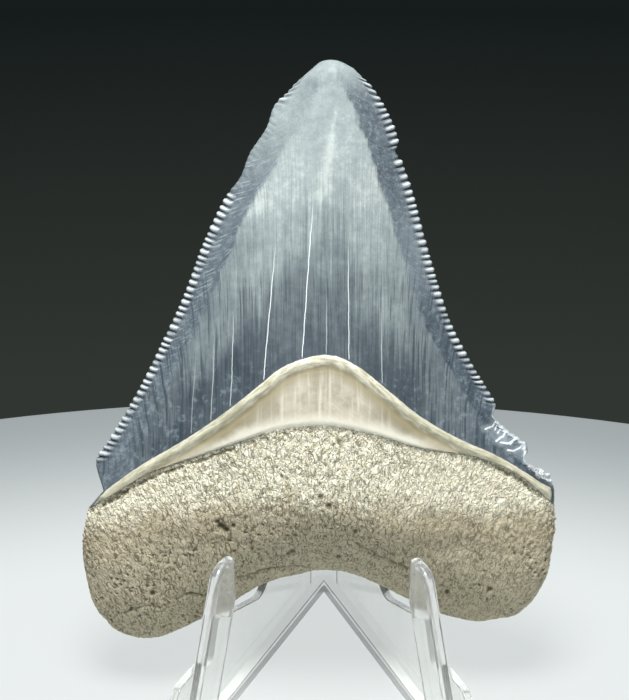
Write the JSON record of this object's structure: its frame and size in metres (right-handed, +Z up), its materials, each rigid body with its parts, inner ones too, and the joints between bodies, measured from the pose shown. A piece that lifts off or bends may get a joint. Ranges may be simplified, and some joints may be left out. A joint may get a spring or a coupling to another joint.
{
  "type": "megalodon tooth",
  "caption": "Fossil shark tooth with serrated cutting edges and a broad rough root, leaning back in the prongs of a low clear plastic display stand.",
  "frame": {"origin": "on the flat underside of the stand, under the middle of the whole object's bounding box", "axes": "+Z up; -Y is the side the tooth's display face and the stand's toes face; +X to the right seen from that side"},
  "size_m": [0.0696, 0.0518, 0.0865],
  "materials": {
    "fossil_tooth": "satin blue-grey enamel, rough cream root",
    "clear_plastic": "clear moulded plastic, polished"
  },
  "bodies": {
    "root": {"tooth": "fossil_tooth", "stand": "clear_plastic"}
  },
  "joints": []
}
